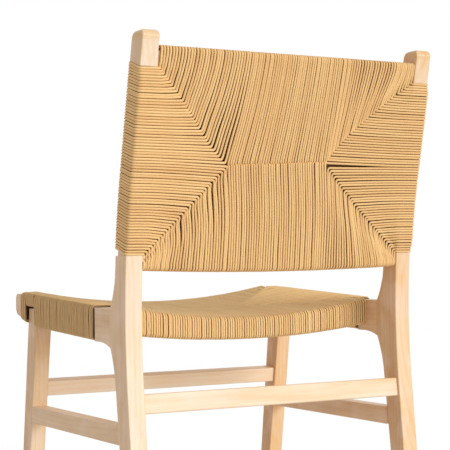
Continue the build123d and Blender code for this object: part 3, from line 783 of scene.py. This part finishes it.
def backCentreLoops(upper, seed):
    # one loop per column: rear column from seam to rail, over the rail, front column, through the
    # back; at share s of the rear column x follows (1 - s)^lean, lean blended from left to right
    weave = backWeave
    count = weave["centre"]
    jitter, sway = scatter(seed, count, weave["wander"])
    way = 1 if upper else -1
    corner = "backWeaveUpper" if upper else "backWeaveLower"
    left, right = backCorners[corner + "Left"], backCorners[corner + "Right"]
    share = (np.arange(count) + 0.5) / count
    leftEnd = post["inner"] - left["railReach"][-1] - 2.1
    rightEnd = right["railReach"][-1] + 2.1 - post["inner"]
    railX = leftEnd + (rightEnd - leftEnd) * share + jitter(0.3)
    (leftX, leftZ), (rightX, rightZ) = weave["seamLeft"], weave["seamRight"]
    seamX = leftX + (rightX - leftX) * (share - way * 0.25 / count) + jitter(0.3)
    seamZ = leftZ + (rightZ - leftZ) * share + way * 0.2 + jitter(0.35)
    seamEnd = seamZ + way * weave["seamTurn"]
    lean = left["lean"] + (right["lean"] - left["lean"]) * share
    railZ = railMiddle(railX, upper)
    endZ = railZ - way * weave["railTurn"]
    inRail = weave["overRail"]
    farRail = post["depth"] - inRail
    seamDeep = inRail + weave["sink"]
    farSeam = farRail - weave["sink"]
    frontX = weave["frontSeam"] - 2 * weave["frontSeam"] * share
    frontMiddle = weave["top"] - weave["rows"][0] * rowPitch + weave["climb"]
    frontSeam = frontMiddle + way * 0.2 + jitter(0.3)
    frontEnd = frontSeam + way * weave["seamTurn"]
    corners = []

    def put(x, depth, z):
        corners.append(behind(x, depth, z))

    put(seamX, seamDeep - 0.3, seamZ)
    put(seamX, seamDeep - 0.1, seamEnd)
    for part in (0.2, 0.42, 0.62, 0.82):
        z = seamEnd + (endZ - seamEnd) * part
        swing = 0.0 if upper else weave["swing"] * math.sin(math.pi * part)
        x = railX + (seamX - railX) * (1 - part) ** lean + swing + sway(part)
        put(x, seamDeep + (inRail - seamDeep) * part + jitter(weave["depthShift"]), z)
    putOverRail(put, railX, railZ, endZ)
    for part in (0.3, 0.6, 0.85):
        z = endZ + (frontEnd - endZ) * part
        x = railX + (frontX - railX) * part + sway(part)
        put(x, farRail + (farSeam - farRail) * part + jitter(weave["depthShift"]), z)
    put(frontX, farSeam + 0.1, frontEnd)
    put(frontX, farSeam + 0.3, frontSeam)
    put(frontX * 0.6 + seamX * 0.4, farSeam - 6, frontSeam + way * 0.8)
    put(frontX * 0.3 + seamX * 0.7, seamDeep + 6, seamZ + way * 0.8)
    return np.stack(corners, axis=1)


addStrands("backWeaveTopCentre", backCentreLoops(True, 15), 15, ("back_cord_top",), 0.99)
addStrands("backWeaveBottomCentre", backCentreLoops(False, 16), 16, ("back_cord_bottom",), 1.02)


def crossingLoops(values, lines):
    # flat closed loops between the two sheets: lines holds where each crossing lies and its two
    # levels; x goes from one end to the other at the first level and back at the second
    count = len(lines[0])
    sway = scatter(values["seed"], count, values["wander"])[1]
    corners = []
    for level in (0, 1):
        way = 1 - 2 * level
        for share in (0.0, 0.012, 0.25, 0.5, 0.75, 0.988, 1.0):
            x = np.full(count, values["ends"] * way * (1 - 2 * share))
            corners.append((x, lines[0] + sway(share), lines[1 + level]))
    return corners


backInner = {
    "ends": 205.0,
    "levels": (12.4, 20.5),  # depths at which a crossing goes over and comes back
    "seed": 17,
    "wander": 0.6,
    "fullness": 1.12,
}


def backInnerLoops(values):
    # the cord's crossings from post to post inside the back, one pair for each row
    rows = sum(backWeave["rows"])
    z = backWeave["bottom"] + (np.arange(rows) + 0.5) * rowPitch
    near, far = (np.full(rows, level) for level in values["levels"])
    corners = crossingLoops(values, (z, near, far))
    return np.stack([behind(x, depth, height) for x, height, depth in corners], axis=1)


backAll = ("back_cord_left", "back_cord_right", "back_cord_top", "back_cord_bottom")
loops = backInnerLoops(backInner)
addStrands("backInnerCords", loops, backInner["seed"], backAll, backInner["fullness"])
print("woven back finished")

# woven seat
seatWeave = {
    "rear": 63.0,  # the cord's rear edge and the depth from there to its front edge
    "depth": 320.0,
    "crest": 453.4,  # the cord's top at the rear, beside the legs
    "rise": 15.0,
    "dip": 21.5,  # how far the top sags in the middle, and the underside
    "lowDip": 15.5,
    "railHeight": 40.5,  # of the cord round the front and rear rails
    "sideHeight": 50.8,  # of the cord round the side rails
    "sideGrowth": 0.4,
    "start": 92.0,  # where the rows on the side rails start and end
    "end": 361.0,
    "perCorner": 35,
    "columnPitch": 3.916,
    "centre": 38,  # columns between the corners
    "outer": 239.95,
    "flare": 20.0,  # from the side rail to where the underside starts to drop to its lower edge
    "chinStart": 322.0,
    "chinLow": 418.2,
    "chinRise": 0.2425,
    "wander": 0.16,
    "shift": 0.26,
    "sideSway": 0.75,  # how far a strand wanders along the side rail halfway down
    "roll": 13.0,  # how far from an edge the cord starts to turn over it
    "legSlot": (307.0, 341.7),  # strands between these turn in over the front leg's lap
    "slotHeight": 446.0,
    "slotX": (206.5, 207.5, 219.0, 221.0),  # where they run down again behind the rail
    "slotZ": (426.0, 428.0),
}


def seatCrest(forward):
    # straight line from the rear crest up by the rise over the seat's depth
    fromRear = forward - seatWeave["rear"]
    return seatWeave["crest"] + seatWeave["rise"] * fromRear / seatWeave["depth"]


def seatBow(x, dip):
    # parabola, 0 at the side rails and the dip in the middle
    return dip * (1 - (x / post["inner"]) ** 2)


def seatTop(x, forward):
    # strand's middle on top of the seat: half a strand under the crest, less the bow
    return seatCrest(forward) - strandHalf - seatBow(x, seatWeave["dip"])


def seatUnder(x, forward):
    # the same on the underside: half a strand over the cord's height round the rails
    lowest = seatCrest(forward) - seatWeave["railHeight"]
    return lowest + strandHalf - seatBow(x, seatWeave["lowDip"])


def seatLow(forward):
    # underside of a side rail's cord, lifted along the chin near the front
    growth = seatWeave["sideGrowth"] * (forward - seatWeave["rear"]) / seatWeave["depth"]
    plain = seatCrest(forward) - seatWeave["sideHeight"] - growth
    onChin = forward - seatWeave["chinStart"]
    chin = seatWeave["chinLow"] + onChin * seatWeave["chinRise"] - 2 * strandHalf
    return np.maximum(plain, np.where(onChin > 0, chin, plain))


def crossRail(rear):
    # forward of a strand's middle on the outer face of the rear or front rail
    if rear:
        return seatWeave["rear"] + strandHalf
    return seatWeave["rear"] + seatWeave["depth"] - strandHalf


def putRoundRail(put, jitter, x, railF, railTop, railLow):
    # five corners that carry a column down the outer face of the rear or front rail
    put(x, railF, railTop)
    put(x, railF, railTop - seatWeave["roll"])
    put(x + jitter(0.2), railF, (railTop + railLow) / 2)
    put(x, railF, railLow + 9)
    put(x, railF, railLow)


def seatCornerLoops(side, rear, seed):
    # one loop per row: side rail's top, row, mitre, column, round the cross rail, column, mitre,
    # row, under and beside the side rail; all runs are straight but for their sway
    weave = seatWeave
    count = weave["perCorner"]
    jitter, sway = scatter(seed, count, weave["wander"])
    way = 1 if rear else -1
    inner = post["inner"]
    out = weave["outer"]
    i = np.arange(count)
    away = (i + 0.5) * ((weave["end"] - weave["start"]) / (2 * count))
    rowF = weave["start"] + away if rear else weave["end"] - away
    rowF = rowF + jitter(weave["shift"]) * np.minimum(i / 3, 1)
    mitreX = inner - (i + 0.5) * weave["columnPitch"] + jitter(weave["shift"])
    railX = mitreX + jitter(0.2)
    railF = crossRail(rear)
    columnF = rowF - way * 3.4
    endF = railF + way * weave["roll"]
    topRow = seatCrest(rowF) - strandHalf
    topMitre = seatTop(mitreX, rowF)
    sheetLow = seatUnder(mitreX, rowF)
    railTop = seatTop(railX, railF)
    railLow = seatUnder(railX, railF)
    corners = []

    def put(x, forward, z):
        corners.append(sideBySide(x, forward, z))

    # top
    put(out, rowF, topRow)
    put(out - 13, rowF + jitter(0.2), topRow)
    for share in (0.02, 0.35, 0.7):
        x = inner + (mitreX + 3 - inner) * share
        z = topRow + (topMitre - topRow) * share + jitter(0.15)
        put(x, rowF + sway(share), z)
    put(mitreX + 3, rowF, topMitre - 0.3)
    put(mitreX, rowF, topMitre - 1.2)
    put(mitreX, columnF, topMitre - 0.8)
    for share in (0.3, 0.6, 0.85):
        forward = columnF + (endF - columnF) * share
        z = seatTop(mitreX, forward) + jitter(0.15)
        put(mitreX + (railX - mitreX) * share + sway(share), forward, z)
    put(railX, endF, seatTop(railX, endF))
    putRoundRail(put, jitter, railX, railF, railTop, railLow)

    # underside
    put(railX, endF, railLow)
    for share in (0.4, 0.8):
        forward = endF + (columnF - endF) * share
        put(mitreX + jitter(0.3), forward, railLow + (sheetLow - railLow) * share)
    put(mitreX, columnF, sheetLow)
    put(mitreX, rowF, sheetLow + 1.0)
    turnX = np.maximum(np.minimum(mitreX + 3, inner - 1), mitreX + 0.5)
    put(turnX, rowF, sheetLow)
    flatX = np.maximum(turnX, inner - weave["flare"] - 2)
    flatZ = seatUnder(flatX, rowF)
    put(flatX, rowF, flatZ)

    # side rail
    low = seatLow(rowF) + strandHalf
    cut = weave["slotHeight"]
    slotted = (rowF > weave["legSlot"][0]) & (rowF < weave["legSlot"][1])

    def either(inSlot, elsewhere):
        return np.where(slotted, inSlot, elsewhere)

    firstX, secondX, thirdX, lastX = weave["slotX"]
    firstZ, secondZ = weave["slotZ"]
    put(either(firstX, inner - 1.0), rowF, either(flatZ, low))
    put(either(secondX, inner + 9), rowF, either(firstZ, low))
    put(either(thirdX, out - 9), rowF, either(secondZ, low))
    put(either(lastX, out), rowF, either(cut, low))
    put(out, rowF, either(cut, low + 9))
    bent = jitter(weave["sideSway"])
    put(out, rowF + bent, (topRow + either(cut, low)) / 2)
    x = out + jitter(0.2)
    bent = bent * 0.4
    put(x, rowF + bent + jitter(weave["sideSway"] * 0.6), topRow - either(4.0, 12.0))
    loops = np.stack(corners, axis=1)
    loops[..., 0] *= side
    return loops


seatCorners = {
    # side, at the rear, seed, what it stands for
    "seatWeaveRearLeft": (1, True, 21, ("seat_cord_left", "seat_cord_rear")),
    "seatWeaveRearRight": (-1, True, 22, ("seat_cord_right", "seat_cord_rear")),
    "seatWeaveFrontLeft": (1, False, 23, ("seat_cord_left", "seat_cord_front")),
    "seatWeaveFrontRight": (-1, False, 24, ("seat_cord_right", "seat_cord_front")),
}

for name, (side, rear, seed, covers) in seatCorners.items():
    addStrands(name, seatCornerLoops(side, rear, seed), seed, covers)


def seatCentreLoops(rear, seed):
    # one loop per column: on top from the seam to the rail, round it, back under it, up the seat
    weave = seatWeave
    count = weave["centre"]
    jitter, sway = scatter(seed, count, weave["wander"])
    way = 1 if rear else -1
    share = (np.arange(count) + 0.5) / count
    reach = post["inner"] - weave["perCorner"] * weave["columnPitch"]
    x = reach * (1 - 2 * share) + jitter(weave["shift"])
    seamF = (weave["start"] + weave["end"]) / 2 - way * 0.3 + jitter(0.3)
    seamEnd = seamF - way * 5
    railF = crossRail(rear)
    endF = railF + way * weave["roll"]
    corners = []

    def put(x, forward, z):
        corners.append(sideBySide(x, forward, z))

    put(x, seamF, seatTop(x, seamF) - 0.3)
    put(x, seamEnd, seatTop(x, seamEnd))
    for part in (0.3, 0.6, 0.85):
        forward = seamEnd + (endF - seamEnd) * part
        put(x + sway(part), forward, seatTop(x, forward) + jitter(0.15))
    put(x, endF, seatTop(x, endF))
    putRoundRail(put, jitter, x, railF, seatTop(x, railF), seatUnder(x, railF))
    put(x, endF, seatUnder(x, endF))
    for part in (0.3, 0.7):
        forward = endF + (seamEnd - endF) * part
        put(x + jitter(0.3), forward, seatUnder(x, forward))
    put(x, seamEnd, seatUnder(x, seamEnd))
    put(x, seamF, seatUnder(x, seamF) + 0.3)
    put(x, seamF - way * 0.8, seatUnder(x, seamF) + 9)
    put(x, seamF - way * 0.8, seatTop(x, seamF) - 9)
    return np.stack(corners, axis=1)


addStrands("seatWeaveRearCentre", seatCentreLoops(True, 25), 25, ("seat_cord_rear",))
addStrands("seatWeaveFrontCentre", seatCentreLoops(False, 26), 26, ("seat_cord_front",))

seatInner = {"ends": 205.0, "spread": 4.0, "seed": 27, "wander": 0.6}


def seatInnerLoops(values):
    # the cord's crossings from side rail to side rail, hung along the mean of the seat's two bows
    weave = seatWeave
    count = 2 * weave["perCorner"]
    forward = weave["start"] + (np.arange(count) + 0.5) * (weave["end"] - weave["start"]) / count
    middle = seatCrest(forward) - weave["railHeight"] / 2
    lines = (forward, middle + values["spread"], middle - values["spread"])
    bow = (weave["dip"] + weave["lowDip"]) / 2
    corners = crossingLoops(values, lines)
    return np.stack([np.stack([x, f, z - seatBow(x, bow)], axis=-1) for x, f, z in corners], axis=1)


seatAll = ("seat_cord_left", "seat_cord_right", "seat_cord_rear", "seat_cord_front")
addStrands("seatInnerCords", seatInnerLoops(seatInner), seatInner["seed"], seatAll)
print("woven seat finished")

# floor, world and lights
lightLevels = {"world": 0.56, "key": 1.75, "keyAngle": 30.0, "keyFrom": (-0.5, 1.0, 0.30)}
floorLooks = {"radius": 1.35, "inner": 0.95, "sides": 96, "colour": paint(243, 242, 240)}


def seenStrength(sheet):
    # 1 for camera, mirror and glass rays; the world's soft level for all others
    rays = ("Is Camera Ray", "Is Glossy Ray", "Is Transmission Ray")
    seen, glossy, clear = (sheet.add("ShaderNodeLightPath", None, None, output=ray) for ray in rays)
    anySeen = seen.maths("MAXIMUM", glossy).maths("MAXIMUM", clear)
    return anySeen * (1.0 - lightLevels["world"]) + lightLevels["world"]


def addFloor(looks):
    # a round floor, radius (cos a, sin a), whose rim fades from lit paper to plain white
    angle = np.linspace(0, 2 * np.pi, looks["sides"] + 1)[:-1]
    rim = np.stack([np.cos(angle), np.sin(angle), 0 * angle], axis=-1) * looks["radius"]
    mesh = bpy.data.meshes.new("floor")
    mesh.from_pydata(rim.tolist(), [], [list(range(len(rim)))])
    mesh.update()
    floor = bpy.data.objects.new("floor", mesh)
    bpy.context.scene.collection.objects.link(floor)
    material, sheet = newMaterial("floorPaper")
    place = sheet.add("ShaderNodeTexCoord", None, None, output="Object")
    distance = sheet.add("ShaderNodeVectorMath", {"operation": "LENGTH"}, {0: place}, output=1)
    fade = ((distance - looks["inner"]) / (looks["radius"] - looks["inner"])).held()
    sockets = {"Base Color": looks["colour"], "Roughness": 0.9}
    paper = sheet.add("ShaderNodeBsdfPrincipled", None, sockets)
    sockets = {"Color": (1, 1, 1, 1), "Strength": seenStrength(sheet)}
    white = sheet.add("ShaderNodeEmission", None, sockets)
    both = sheet.add("ShaderNodeMixShader", None, {0: fade, 1: paper, 2: white})
    sheet.add("ShaderNodeOutputMaterial", None, {"Surface": both})
    mesh.materials.append(material)


def addWorld():
    world = bpy.data.worlds.new("studio")
    bpy.context.scene.world = world
    world.use_nodes = True
    sheet = Sheet(world.node_tree)
    sockets = {"Color": (1, 1, 1, 1), "Strength": seenStrength(sheet)}
    glow = sheet.add("ShaderNodeBackground", None, sockets)
    sheet.add("ShaderNodeOutputWorld", None, {"Surface": glow})


def addKey(levels):
    # a soft sun that shines from keyFrom towards the middle
    lamp = bpy.data.lights.new("keyLight", "SUN")
    lamp.energy = levels["key"]
    lamp.angle = math.radians(levels["keyAngle"])
    key = bpy.data.objects.new("keyLight", lamp)
    away = unit(np.array(levels["keyFrom"]))
    across = unit(np.cross([0.0, 0.0, 1.0], away))
    turned = np.eye(4)
    turned[:3, 0] = across
    turned[:3, 1] = np.cross(away, across)
    turned[:3, 2] = away
    key.matrix_world = Matrix(turned.tolist())
    bpy.context.scene.collection.objects.link(key)


addFloor(floorLooks)
addWorld()
addKey(lightLevels)
bpy.context.scene.view_settings.view_transform = "Standard"
print("stage and light set")


def plain(bounds):
    return [[float(value) for value in corner] for corner in bounds]
